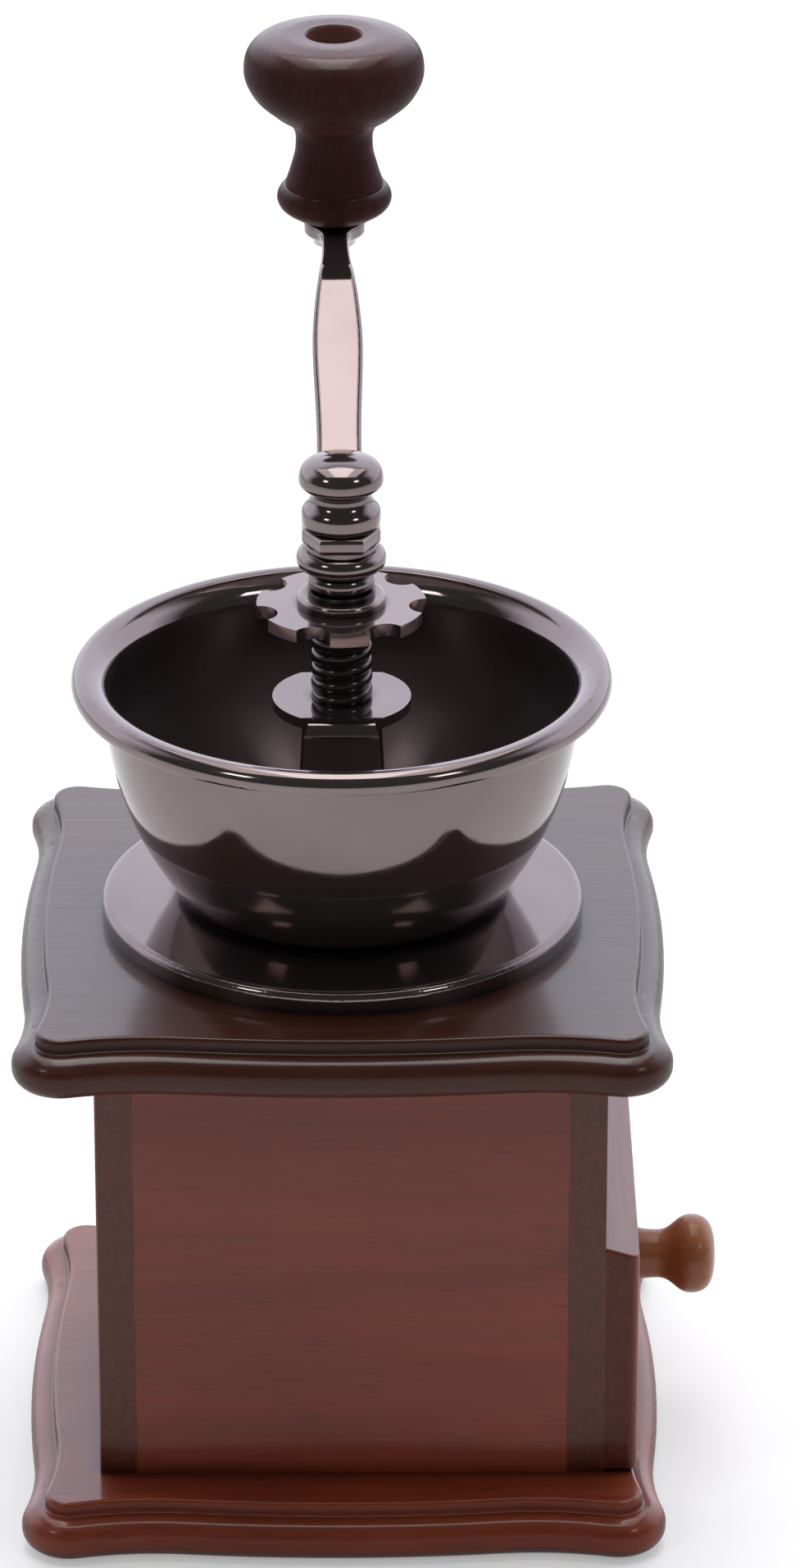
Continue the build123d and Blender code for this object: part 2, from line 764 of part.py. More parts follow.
# Dome nut: a flared foot, a waist and a button top, blind-bored for the spindle
with BuildPart() as dome_nut:
    with BuildSketch(Plane.XZ):
        with BuildLine():
            Polyline(
                (0, arm_top + dome_nut_height),
                (0, arm_top),
                (dome_nut_foot_radius, arm_top),
            )
            turned_side(
                ((dome_nut_foot_radius, arm_top), (1, 0.5)),
                ((dome_nut_bead_radius, arm_top + dome_nut_bead_level), (0, 1)),
                ((dome_nut_waist_radius, arm_top + dome_nut_waist_level), (0, 1)),
                ((dome_radius, arm_top + dome_level), (0, 1)),
                ((dome_shoulder_radius, arm_top + dome_shoulder_level), (-1, 0.3)),
                ((0, arm_top + dome_nut_height), (-1, 0)),
            )
        make_face()
    revolve(axis=Axis.Z)
    with BuildSketch(Plane.XY.offset(arm_top)):
        Circle(spindle_bore)
    extrude(amount=dome_nut_height - dome_nut_roof, mode=Mode.SUBTRACT)
dome_nut.part.label = "dome_nut"

# Spindle: from below the burr nut up into the dome nut
with BuildPart() as spindle:
    spindle_under = inner_burr_under - burr_nut_height - spindle_tail
    spindle_top = arm_top + dome_nut_height - dome_nut_roof - running_fit
    with BuildSketch(Plane.XY.offset(spindle_under)):
        Circle(spindle_radius)
    extrude(amount=spindle_top - spindle_under)
    chamfer(spindle.edges().group_by(Axis.Z)[0], spindle_chamfer)
spindle.part.label = "spindle"

# Burr housing: a sleeve through the top plate, with a flange below it and a ledge for the outer burr
with BuildPart() as burr_housing:
    with BuildSketch(Plane.XZ):
        with BuildLine():
            Polyline(
                (housing_bore - housing_ledge_width, housing_under),
                (housing_flange_radius, housing_under),
                (housing_flange_radius, box_top),
                (housing_radius, box_top),
                (housing_radius, housing_top),
                (housing_bore, housing_top),
                (housing_bore, outer_burr_under),
                (housing_bore - housing_ledge_width, outer_burr_under),
                close=True,
            )
        make_face()
    revolve(axis=Axis.Z)
    with BuildSketch(Plane.XY.offset(housing_top)):
        with Locations((0, bridge_screw_reach), (0, -bridge_screw_reach)):
            Circle(bridge_screw_radius + running_fit)
    extrude(amount=-bridge_screw_length, mode=Mode.SUBTRACT)
burr_housing.part.label = "burr_housing"

# Outer burr: a toothed ring that narrows to its grinding land
with BuildPart() as outer_burr:
    land_radius = inner_burr_radius + burr_gap
    with BuildSketch(Plane.XZ):
        with BuildLine():
            Polyline(
                (land_radius, outer_burr_under),
                (outer_burr_radius, outer_burr_under),
                (outer_burr_radius, outer_burr_top),
                (outer_burr_mouth, outer_burr_top),
                (land_radius, outer_burr_under + outer_burr_land),
                close=True,
            )
        make_face()
    revolve(axis=Axis.Z)
    with BuildSketch(Plane.XY.offset(outer_burr_under)):
        with PolarLocations(land_radius - flute_radius + flute_depth, outer_burr_flutes):
            Circle(flute_radius)
    extrude(amount=outer_burr_height, mode=Mode.SUBTRACT)
outer_burr.part.label = "outer_burr"

# Inner burr: a fluted cone on a grinding land, with a boss that seats the spring
with BuildPart() as inner_burr:
    with BuildSketch(Plane.XZ):
        with BuildLine():
            Polyline(
                (spindle_bore, inner_burr_under),
                (inner_burr_radius, inner_burr_under),
                (inner_burr_radius, inner_burr_shoulder),
                (inner_burr_boss_radius, inner_burr_waist),
                (inner_burr_boss_radius, inner_burr_top),
                (spindle_bore, inner_burr_top),
                close=True,
            )
        make_face()
    revolve(axis=Axis.Z)
    with BuildSketch(Plane.XY.offset(inner_burr_under)):
        with PolarLocations(inner_burr_radius + flute_radius - flute_depth, inner_burr_flutes):
            Circle(flute_radius)
    extrude(amount=inner_burr_top - inner_burr_under, mode=Mode.SUBTRACT)
inner_burr.part.label = "inner_burr"

# Burr nut: hexagonal, under the inner burr
with BuildPart() as burr_nut:
    with BuildSketch(Plane.XY.offset(inner_burr_under)):
        RegularPolygon(burr_nut_flats / 2, 6, major_radius=False)
        Circle(spindle_bore, mode=Mode.SUBTRACT)
    extrude(amount=-burr_nut_height)
burr_nut.part.label = "burr_nut"

# Spring: one wire wound from the inner burr's boss up to the bridge, as two tangent arcs a quarter turn
spring_low = inner_burr_top + spring_wire / 2 + spring_seat_gap
spring_rise = (pad_under - spring_wire / 2 - spring_seat_gap - spring_low) / spring_turns


def spring_place(turns):
    """A point on the wire's centre line."""
    angle = 2 * math.pi * turns
    return Vector(
        spring_radius * math.cos(angle),
        spring_radius * math.sin(angle),
        spring_low + spring_rise * turns,
    )


def spring_heading(turns):
    """The wire's unit tangent."""
    angle = 2 * math.pi * turns
    around = 2 * math.pi * spring_radius
    return Vector(-around * math.sin(angle), around * math.cos(angle), spring_rise).normalized()


with BuildPart() as burr_spring:
    with BuildLine() as coil:
        for quarter in range(4 * spring_turns):
            start = spring_place(quarter / 4)
            end = spring_place((quarter + 1) / 4)
            heading = spring_heading(quarter / 4)
            leaving = spring_heading((quarter + 1) / 4)
            chord = end - start
            both = heading + leaving
            bend = 2 * (1 - heading.dot(leaving))
            along = chord.dot(both)
            reach = (math.sqrt(along**2 + bend * chord.dot(chord)) - along) / bend
            middle = (start + end + (heading - leaving) * reach) / 2
            first_arc = TangentArc(start, middle, tangent=heading)
            TangentArc(middle, end, tangent=first_arc % 1)
    with BuildSketch(Plane(origin=spring_place(0), z_dir=spring_heading(0))):
        Circle(spring_wire / 2)
    sweep(path=coil.wires()[0])
burr_spring.part.label = "burr_spring"
steps_per_turn = 48
wire_points = [spring_place(i / steps_per_turn) for i in range(steps_per_turn * spring_turns + 1)]
spring_gap = min(
    (wire_points[i] - wire_points[j]).length - spring_wire
    for i in range(len(wire_points))
    for j in range(i + steps_per_turn // 2, len(wire_points))
)
print(f"least gap between the spring's turns: {spring_gap:.2f} mm")

# Crank knob: turned wood with a ringed foot, a waist and a mushroom head
with BuildPart() as crank_knob:
    with BuildSketch(knob_side):
        with BuildLine():
            Polyline(
                (knob_top_radius, knob_top),
                (0, knob_top),
                (0, knob_under),
                (knob_foot_radius, knob_under),
            )
            turned_side(
                ((knob_foot_radius, knob_under), (1, 0.3)),
                ((knob_ring_radius, knob_under + knob_ring_level), (0, 1)),
                ((knob_waist_radius, knob_under + knob_waist_level), (0, 1)),
                ((knob_head_radius, knob_under + knob_head_level), (0, 1)),
                ((knob_top_radius, knob_top), (-1, 0)),
            )
        make_face()
    revolve(axis=knob_axis)
    with BuildSketch(arm_plan.offset(knob_under)):
        with Locations((crank_radius, 0)):
            Circle(pin_radius + running_fit)
    extrude(amount=knob_height, mode=Mode.SUBTRACT)
    with BuildSketch(arm_plan.offset(knob_top)):
        with Locations((crank_radius, 0)):
            Circle(knob_sink_radius)
    extrude(amount=-knob_sink_depth, mode=Mode.SUBTRACT)
crank_knob.part.label = "crank_knob"

# Knob pin: riveted into the crank's eye, with its head sunk in the knob's top
with BuildPart() as knob_pin:
    head_under = knob_top - knob_sink_depth + running_fit
    with BuildSketch(knob_side):
        with BuildLine():
            Polyline(
                (0, eye_under - pin_rivet_height),
                (pin_rivet_radius, eye_under - pin_rivet_height),
                (pin_rivet_radius, eye_under),
                (pin_tail_radius, eye_under),
                (pin_tail_radius, eye_top),
                (pin_radius, eye_top),
                (pin_radius, head_under),
                (pin_head_radius, head_under),
                (pin_head_radius, head_under + pin_head_height),
                (0, head_under + pin_head_height),
                close=True,
            )
        make_face()
    revolve(axis=knob_axis)
knob_pin.part.label = "knob_pin"

# One file for each piece
os.makedirs("parts", exist_ok=True)
for piece in (
    base_plate,
    top_plate,
    back_board,
    front_board,
    near_panel,
    far_panel,
    base_screws,
    top_dowels,
    hopper_foot,
    hopper_bowl,
    bridge,
    bridge_screws,
    threaded_pillar,
    burr_housing,
    outer_burr,
    burr_spring,
    inner_burr,
    burr_nut,
    spindle,
    adjusting_wheel,
    thrust_washer,
    spindle_collar,
    crank_arm,
    dome_nut,
    knob_pin,
    crank_knob,
    drawer_front,
    drawer_near_side,
    drawer_far_side,
    drawer_back,
    drawer_bottom,
    drawer_knob,
    drawer_knob_screw,
):
    export_step(piece.part, f"parts/{piece.part.label}.step")
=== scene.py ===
import math

import bpy
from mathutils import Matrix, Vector


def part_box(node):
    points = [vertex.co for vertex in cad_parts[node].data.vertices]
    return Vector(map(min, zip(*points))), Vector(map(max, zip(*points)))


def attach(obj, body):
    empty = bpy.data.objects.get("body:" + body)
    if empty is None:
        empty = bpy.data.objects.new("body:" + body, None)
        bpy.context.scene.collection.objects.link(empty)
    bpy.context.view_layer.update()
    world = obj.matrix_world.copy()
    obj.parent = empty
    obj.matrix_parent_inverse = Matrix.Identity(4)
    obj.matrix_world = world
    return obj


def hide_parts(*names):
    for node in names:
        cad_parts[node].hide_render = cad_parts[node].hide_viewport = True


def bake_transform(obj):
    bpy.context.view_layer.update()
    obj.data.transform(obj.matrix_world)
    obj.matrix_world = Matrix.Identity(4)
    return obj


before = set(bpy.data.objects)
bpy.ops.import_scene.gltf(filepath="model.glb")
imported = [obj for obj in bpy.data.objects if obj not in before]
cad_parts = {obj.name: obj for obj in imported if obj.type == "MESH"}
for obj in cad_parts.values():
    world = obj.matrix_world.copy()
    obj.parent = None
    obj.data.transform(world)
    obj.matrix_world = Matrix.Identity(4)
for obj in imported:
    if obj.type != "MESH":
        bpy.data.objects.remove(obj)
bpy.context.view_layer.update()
bpy.ops.object.select_all(action="DESELECT")


# Base plate: a square hardwood board with a waved edge, moulded to a bead under a small cove.
# It is stained dark red-brown and lacquered. The fibres run across the front.
# The box stands on it and is screwed to it from below.
mm = 0.001


def feed(tree, socket, value):
    """Joins an input to another node's output, or sets it to a value."""
    if isinstance(value, bpy.types.NodeSocket):
        tree.links.new(value, socket)
    else:
        socket.default_value = value


def set_inputs(tree, node, **values):
    """Feeds a node's inputs by their names, with _ for each space."""
    for name, value in values.items():
        feed(tree, node.inputs[name.replace("_", " ")], value)


def add_node(tree, kind, **values):
    """One shader node with its inputs fed."""
    made = tree.nodes.new("ShaderNode" + kind)
    set_inputs(tree, made, **values)
    return made


def arithmetic(tree, operation, first, second=0.0):
    """The sum, product or other result of two numbers or sockets."""
    made = add_node(tree, "Math")
    made.operation = operation
    feed(tree, made.inputs[0], first)
    feed(tree, made.inputs[1], second)
    return made.outputs[0]


def ramp(tree, value, low, high, start=0.0, end=1.0):
    """Maps a number between low and high to start and end, and holds it there outside."""
    made = add_node(tree, "MapRange", Value=value, From_Min=low, From_Max=high, To_Min=start, To_Max=end)
    return made.outputs["Result"]


def spread(tree, value, start, end):
    """Noise, which lies mostly between 0.3 and 0.7, stretched to run from start to end."""
    return ramp(tree, value, 0.3, 0.7, start, end)


def blend_colours(tree, share, first, second, way="MIX"):
    """Two colours mixed by a share."""
    made = tree.nodes.new("ShaderNodeMix")
    made.data_type = "RGBA"
    made.blend_type = way
    colours = [socket for socket in made.inputs if socket.type == "RGBA"]
    feed(tree, made.inputs["Factor"], share)
    feed(tree, colours[0], first)
    feed(tree, colours[1], second)
    return [socket for socket in made.outputs if socket.type == "RGBA"][0]


def parts_of(tree, vector):
    """The X, Y and Z of a vector."""
    return add_node(tree, "SeparateXYZ", Vector=vector).outputs


def noise(tree, place, cells, detail=4.0, roughness=0.5, warp=0.0):
    """Noise with so many cells for each metre along the three axes."""
    fitted = add_node(tree, "Mapping", Vector=place, Scale=cells)
    made = add_node(
        tree, "TexNoise", Vector=fitted.outputs[0], Scale=1.0,
        Detail=detail, Roughness=roughness, Distortion=warp,
    )
    return made.outputs[0]


def drawn_out(axis, across, along):
    """Noise cells for each metre: many across an axis and few along it."""
    cells = [across, across, across]
    cells[axis] = along
    return cells


def worn_edges(tree, radius, place):
    """Where a sharp edge has lost its finish: 1 on the edge, broken up by noise."""
    rounded = add_node(tree, "Bevel", Radius=radius)
    rounded.samples = 4
    flat = tree.nodes.new("ShaderNodeNewGeometry")
    across = tree.nodes.new("ShaderNodeVectorMath")
    across.operation = "DOT_PRODUCT"
    feed(tree, across.inputs[0], rounded.outputs[0])
    feed(tree, across.inputs[1], flat.outputs["Normal"])
    edge = ramp(tree, across.outputs["Value"], 0.995, 0.9)
    broken = ramp(tree, noise(tree, place, (160, 160, 160), detail=5.0), 0.42, 0.66)
    return arithmetic(tree, "MULTIPLY", edge, broken)


def painted_hollow_shade(tree, reach, start, end, strength):
    """Painted shade in the hollows: 0 in the open, up to strength as walls within reach close in."""
    shut = add_node(tree, "AmbientOcclusion", Distance=reach)
    shut.samples = 6
    return ramp(tree, shut.outputs["AO"], start, end, 0.0, strength)


def relief(tree, height, strength, depth):
    """Bumps of a depth, for a shader's normal."""
    return add_node(tree, "Bump", Strength=strength, Distance=depth, Height=height).outputs[0]


def new_material(name):
    """A node material, with its nodes, its surface shader and its texture coordinates."""
    made = bpy.data.materials.new(name)
    made.use_nodes = True
    tree = made.node_tree
    return made, tree, tree.nodes["Principled BSDF"], tree.nodes.new("ShaderNodeTexCoord").outputs


def paler(colour, times):
    """A colour made lighter or darker."""
    return tuple(part * times for part in colour[:3]) + (1,)


def lacquered_wood(name, fibres, dark, light, end_grain, flats=0.8, sides=0.2, sheen=0.2, hollow_shade_strength=0.9):
    """Stained wood with its fibres along axis 0, 1 or 2.

    The lacquer has the weight flats where it faces up, and sides elsewhere. Sheen is the wood's own
    gloss, and the last argument is how much painted shade darkens the stain in the hollows."""
    made, tree, shader, coords = new_material(name)
    place = coords["Object"]
    facing = parts_of(tree, coords["Normal"])
    figure = noise(tree, place, drawn_out(fibres, 70, 7), detail=5.0, roughness=0.55, warp=0.4)
    fibre = noise(tree, place, drawn_out(fibres, 900, 22), detail=3.0, roughness=0.6)
    pore = ramp(tree, noise(tree, place, drawn_out(fibres, 1500, 90), detail=2.0), 0.62, 0.74)
    cloud = noise(tree, place, (16, 16, 16), detail=2.0)
    speck = ramp(tree, noise(tree, place, (1100, 1100, 1100), detail=2.0), 0.35, 0.65)
    grit = noise(tree, place, (620, 620, 620), detail=3.0)
    wear = worn_edges(tree, 0.7 * mm, place)

    growth = arithmetic(tree, "ADD", spread(tree, figure, 0.0, 0.62), spread(tree, fibre, 0.0, 0.38))
    stain = blend_colours(tree, growth, dark, light)
    depth = spread(tree, cloud, 0.86, 1.12)
    shade = add_node(tree, "CombineColor", Red=depth, Green=depth, Blue=depth)
    stain = blend_colours(tree, 1.0, stain, shade.outputs[0], "MULTIPLY")
    stain = blend_colours(tree, arithmetic(tree, "MULTIPLY", pore, 0.45), stain, paler(dark, 0.25))
    ends = ramp(tree, arithmetic(tree, "ABSOLUTE", facing[fibres]), 0.72, 0.96, 0.0, 0.9)
    stain = blend_colours(tree, ends, stain, blend_colours(tree, speck, end_grain, paler(end_grain, 1.7)))
    # Painted shade: the stain darkens where walls close in, from ambient occlusion.
    painted_shade = painted_hollow_shade(tree, reach=4.5 * mm, start=0.85, end=0.45, strength=hollow_shade_strength)
    stain = blend_colours(tree, painted_shade, stain, paler(dark, 0.2))
    stain = blend_colours(tree, arithmetic(tree, "MULTIPLY", wear, 0.3), stain, paler(light, 1.6))

    rubbed = arithmetic(tree, "MULTIPLY", wear, 0.12)
    raised = arithmetic(tree, "MULTIPLY", arithmetic(tree, "ADD", fibre, grit), 0.55)
    height = arithmetic(tree, "SUBTRACT", raised, arithmetic(tree, "MULTIPLY", pore, 0.5))
    set_inputs(
        tree, shader, Base_Color=stain, IOR=1.5, Specular_IOR_Level=sheen, Coat_Roughness=0.15,
        Roughness=arithmetic(tree, "ADD", spread(tree, fibre, 0.36, 0.5), rubbed),
        Normal=relief(tree, height, strength=0.22, depth=0.12 * mm),
        Coat_Weight=ramp(tree, facing["Z"], 0.5, 0.95, sides, flats),
    )
    return made


def coat(mesh, material):
    """Gives a mesh one finish."""
    mesh.materials.clear()
    mesh.materials.append(material)


def dress(material, *nodes):
    """Gives CAD nodes their finish."""
    for name in nodes:
        coat(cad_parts[name].data, material)


stain_dark = (0.166, 0.0285, 0.0112, 1)
stain_light = (0.29, 0.053, 0.0212, 1)
stain_end = (0.066, 0.0132, 0.0058, 1)
base_wood = lacquered_wood("case_wood_across", 0, stain_dark, stain_light, stain_end)
dress(base_wood, "base_plate")


# Base screws: four countersunk steel screws, driven up through the base into the box's boards.
# Their heads sit in the base's underside, with a cross recess for the driver.
# Each is turned from a rod, its head flared, and the recess is pressed in.
def steel(name, tone, roughness):
    """Plain steel with fine drawing lines, small stains and brighter edges."""
    made, tree, shader, coords = new_material(name)
    place = coords["Object"]
    line = noise(tree, place, (700, 700, 2400), detail=3.0)
    patch = noise(tree, place, (240, 240, 240), detail=5.0, roughness=0.6)
    wear = arithmetic(tree, "MULTIPLY", worn_edges(tree, 0.25 * mm, place), 0.5)
    tint = blend_colours(tree, ramp(tree, patch, 0.4, 0.75), tone, paler(tone, 0.62))
    set_inputs(
        tree, shader, Metallic=1.0, Base_Color=blend_colours(tree, wear, tint, (0.75, 0.73, 0.7, 1)),
        Roughness=spread(tree, line, roughness * 0.8, roughness * 1.3),
        Normal=relief(tree, line, strength=0.12, depth=0.03 * mm),
    )
    return made


def newest(name):
    """The object that was just added, under its own name."""
    piece = bpy.context.object
    piece.name = name
    piece.data.name = name
    return piece


def pick(where):
    """In edit mode, selects only the faces that pass the test."""
    bpy.ops.mesh.select_all(action="DESELECT")
    bpy.ops.object.mode_set(mode="OBJECT")
    for face in bpy.context.object.data.polygons:
        face.select = where(face)
    bpy.ops.object.mode_set(mode="EDIT")


def close_mesh():
    """Merges doubled points, turns all faces outward and leaves edit mode."""
    bpy.ops.mesh.select_all(action="SELECT")
    bpy.ops.mesh.remove_doubles(threshold=0.002 * mm)
    bpy.ops.mesh.normals_make_consistent(inside=False)
    bpy.ops.object.mode_set(mode="OBJECT")


def apply_modifier(piece, kind, **settings):
    """Adds a modifier to a piece and applies it."""
    bpy.context.view_layer.objects.active = piece
    made = piece.modifiers.new(kind.lower(), kind)
    for name, value in settings.items():
        setattr(made, name, value)
    bpy.ops.object.modifier_apply(modifier=made.name)


def cut_away(piece, cutter):
    """Cuts one solid out of another and throws the cutter away."""
    apply_modifier(piece, "BOOLEAN", operation="DIFFERENCE", object=cutter, solver="EXACT")
    bpy.data.objects.remove(cutter)


def settle(piece, place=(0, 0, 0), turn=(0, 0, 0)):
    """Turns a finished piece, sets it in its place and puts that place in its mesh."""
    bpy.ops.object.select_all(action="DESELECT")
    piece.select_set(True)
    bpy.context.view_layer.objects.active = piece
    piece.rotation_euler = turn
    piece.location = place
    bpy.ops.object.transform_apply(location=True, rotation=True, scale=True)
    bpy.ops.object.shade_smooth_by_angle(angle=math.radians(32))
    piece.select_set(False)


def screw(name, shank_radius, length, head_radius, head_steps, recess, material):
    """A screw that points down from the origin, with a cross recess of a depth.

    Each step of its head is a share of the head's radius and a level."""
    slot_length = head_radius * 1.16
    slot_width = head_radius * 0.24
    slot_taper = 0.4
    bpy.ops.mesh.primitive_cylinder_add(
        vertices=40, radius=shank_radius, depth=length, end_fill_type="NGON", location=(0, 0, -length / 2)
    )
    piece = newest(name)
    bpy.ops.object.transform_apply(location=True)
    bpy.ops.object.mode_set(mode="EDIT")
    pick(lambda face: face.normal.z > 0.9)
    share_before, level_before = shank_radius / head_radius, 0.0
    for share, level in head_steps:
        bpy.ops.mesh.extrude_region_move(TRANSFORM_OT_translate={"value": (0, 0, level - level_before)})
        grow = share / share_before
        bpy.ops.transform.resize(value=(grow, grow, 1), center_override=(0, 0, level))
        share_before, level_before = share, level
    close_mesh()
    for turn in (0, math.pi / 2):
        bpy.ops.mesh.primitive_cube_add(size=1, location=(0, 0, level_before))
        cutter = bpy.context.object
        cutter.scale = (slot_length, slot_width, recess * 2)
        cutter.rotation_euler = (0, 0, turn)
        bpy.ops.object.transform_apply(location=True, rotation=True, scale=True)
        bpy.ops.object.mode_set(mode="EDIT")
        pick(lambda face: face.normal.z < -0.9)
        bpy.ops.transform.resize(value=(slot_taper, slot_taper, 1))
        bpy.ops.object.mode_set(mode="OBJECT")
        cut_away(piece, cutter)
    coat(piece.data, material)
    return piece


screw_steel = steel("screw_steel", (0.42, 0.41, 0.4, 1), 0.3)
countersunk = [(0.5, 0.0), (0.94, 1.7 * mm), (1.0, 1.8 * mm), (1.0, 2.0 * mm)]
base_screw_level = 2.5 * mm
base_screw_places = [(-42, -30), (-42, 30), (45, -40.5), (45, 40.5)]
for count, (across, along) in enumerate(base_screw_places):
    base_screw = screw(
        "base_screw_%d" % (count + 1), shank_radius=1.6 * mm, length=23.5 * mm, head_radius=3.2 * mm,
        head_steps=countersunk, recess=1.3 * mm, material=screw_steel,
    )
    driven_to = 0.3 + 0.8 * count
    settle(base_screw, (across * mm, along * mm, base_screw_level), (math.pi, 0, driven_to))
    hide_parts("base_screws")
    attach(base_screw, "case")


# Box: two thick end boards with two panels held between them, glued up into a square tube.
# Stained hardwood under the same lacquer. The end boards' fibres run from front to back,
# so their end grain shows as a darker band at each end of the near and far sides.
board_wood = lacquered_wood("board_wood", 1, stain_dark, stain_light, stain_end, sides=0.3, sheen=0.3)
panel_wood = lacquered_wood(
    "panel_wood", 0, stain_dark, stain_light, stain_end, sides=0.3, sheen=0.3, hollow_shade_strength=0.2
)
dress(board_wood, "back_board", "front_board")
dress(panel_wood, "near_panel", "far_panel")


# Dowels: four beech pegs that hold the top plate down on the end boards.
# Bare pale wood, pressed into blind holes and glued.
bare_dark = (0.36, 0.22, 0.11, 1)
bare_light = (0.52, 0.36, 0.2, 1)
bare_end = (0.3, 0.17, 0.085, 1)
peg_wood = lacquered_wood("peg_wood", 2, bare_dark, bare_light, bare_end, flats=0.0, sides=0.0)
dress(peg_wood, "top_dowels")


# Top plate: the same waved and beaded board as the base, with a round hole for the burr housing.
# Stained a darker brown than the box, lacquered, and pegged to the end boards.
# Its colour is darker still as painted shade, for the deck in the bowl's shadow.
top_dark = (0.042, 0.0095, 0.0046, 1)
top_light = (0.08, 0.0187, 0.009, 1)
top_end = (0.03, 0.0073, 0.0038, 1)
top_wood = lacquered_wood("top_wood", 0, top_dark, top_light, top_end)
dress(top_wood, "top_plate")


# Burr housing and fixed burr: a cast cup let into the top plate, and the toothed ring inside it.
# Grey cast iron, left as cast outside, with the ring pressed in.
def cast_iron(name, tone):
    """Grey iron with a sandy cast skin and brighter rubbed edges."""
    made, tree, shader, coords = new_material(name)
    place = coords["Object"]
    grain = noise(tree, place, (900, 900, 900), roughness=0.6)
    patch = noise(tree, place, (120, 120, 120), detail=5.0, roughness=0.6)
    wear = arithmetic(tree, "MULTIPLY", worn_edges(tree, 0.3 * mm, place), 0.6)
    tint = blend_colours(tree, ramp(tree, patch, 0.35, 0.7), tone, paler(tone, 0.55))
    set_inputs(
        tree, shader, Metallic=1.0, Base_Color=blend_colours(tree, wear, tint, (0.5, 0.49, 0.47, 1)),
        Roughness=spread(tree, grain, 0.38, 0.62),
        Normal=relief(tree, grain, strength=0.4, depth=0.08 * mm),
    )
    return made


burr_iron = cast_iron("burr_iron", (0.21, 0.2, 0.2, 1))
dress(burr_iron, "burr_housing", "outer_burr")


# Hopper: a spun bowl with a rolled lip, soldered to a flanged foot that stands on the top plate.
# Thin steel sheet under polished black nickel, which mirrors the room in warm grey.
# The inside of the bowl is satin, where the beans have rubbed it.
def black_nickel(name, tone, roughness=0.085, satin_below=None):
    """Polished black nickel: dull patches, painted shade in the corners and paler rubbed edges.

    Below a level, what faces up is satin."""
    made, tree, shader, coords = new_material(name)
    place = coords["Object"]
    cloud = noise(tree, place, (45, 45, 45), roughness=0.55)
    haze = noise(tree, place, (300, 300, 300), detail=3.0)
    wear = worn_edges(tree, 0.3 * mm, place)
    tint = blend_colours(tree, ramp(tree, cloud, 0.35, 0.7), tone, paler(tone, 0.86))
    # Painted shade: the tone darkens where walls close in, from ambient occlusion.
    painted_corner_shade = painted_hollow_shade(tree, reach=3.0 * mm, start=0.8, end=0.4, strength=0.85)
    tint = blend_colours(tree, painted_corner_shade, tint, paler(tone, 0.12))
    rubbed = arithmetic(tree, "MULTIPLY", wear, 0.35)
    dull = arithmetic(tree, "MULTIPLY", wear, 0.1)
    if satin_below is not None:
        satin_fades_in = 8 * mm
        level = parts_of(tree, place)["Z"]
        deep = ramp(tree, level, satin_below, satin_below - satin_fades_in, 0.0, 0.24)
        upward = ramp(tree, parts_of(tree, coords["Normal"])["Z"], 0.02, 0.12)
        dull = arithmetic(tree, "ADD", dull, arithmetic(tree, "MULTIPLY", upward, deep))
    polish = spread(tree, haze, roughness * 0.75, roughness * 1.3)
    ripple = arithmetic(tree, "ADD", cloud, arithmetic(tree, "MULTIPLY", haze, 0.08))
    set_inputs(
        tree, shader, Metallic=0.9, Base_Color=blend_colours(tree, rubbed, tint, (0.42, 0.36, 0.33, 1)),
        Roughness=arithmetic(tree, "ADD", polish, dull),
        Normal=relief(tree, ripple, strength=0.05, depth=0.3 * mm),
    )
    return made


nickel_tone = (0.218, 0.172, 0.17, 1)
nickel = black_nickel("black_nickel", nickel_tone)
bowl_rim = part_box("hopper_bowl")[1].z
bowl_nickel = black_nickel("bowl_nickel", nickel_tone, satin_below=bowl_rim - 8 * mm)
dress(nickel, "hopper_foot")
dress(bowl_nickel, "hopper_bowl")


# Bridge: a bent steel strap over the throat, with a round pad that carries the threaded pillar.
# Black nickel like the bowl. Two round-headed screws hold its feet through the hopper's floor.
dress(nickel, "bridge")
round_head_height = 1.8 * mm
round_head = [
    (1.0, 0.0),
    (1.0, 0.9 * mm),
    (0.94, 1.35 * mm),
    (0.78, 1.65 * mm),
    (0.5, round_head_height),
]
foot_head_radius = 3.0 * mm
feet_low, feet_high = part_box("bridge_screws")
foot_reach = (feet_high.y - feet_low.y) / 2 - foot_head_radius
for count, side in enumerate((-1, 1)):
    bridge_screw = screw(
        "bridge_screw_%d" % (count + 1), shank_radius=1.5 * mm, length=9.0 * mm,
        head_radius=foot_head_radius, head_steps=round_head, recess=1.0 * mm, material=screw_steel,
    )
    driven_to = 0.5 + count
    settle(bridge_screw, (0, side * foot_reach, feet_high.z - round_head_height), (0, 0, driven_to))
    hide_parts("bridge_screws")
    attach(bridge_screw, "case")


# Threaded pillar: a hollow stud riveted into the bridge's pad, with a coarse thread for the wheel.
# Turned brass under dark oxide. The spindle runs in its bore.
# A turned rod with its bore cut out, and a rounded thread wound on it down to the pad.
def coil(name, radius, half_width, half_height, foot, pitch, turns):
    """A thread or a spring: an oval wound round the upright axis and closed at both ends."""
    steps = 72
    bpy.ops.mesh.primitive_circle_add(
        vertices=16, radius=1, fill_type="NOTHING", rotation=(math.pi / 2, 0, 0)
    )
    piece = newest(name)
    piece.scale = (half_width, half_height, 1)
    piece.location = (radius, 0, foot)
    bpy.ops.object.transform_apply(location=True, rotation=True, scale=True)
    apply_modifier(
        piece, "SCREW", axis="Z", angle=2 * math.pi, screw_offset=pitch, iterations=turns,
        steps=steps, render_steps=steps, use_smooth_shade=True,
    )
    bpy.ops.object.mode_set(mode="EDIT")
    bpy.ops.mesh.select_mode(type="VERT")
    bpy.ops.mesh.select_all(action="DESELECT")
    bpy.ops.mesh.select_non_manifold()
    bpy.ops.mesh.fill()
    bpy.ops.mesh.select_mode(type="FACE")
    close_mesh()
    return piece


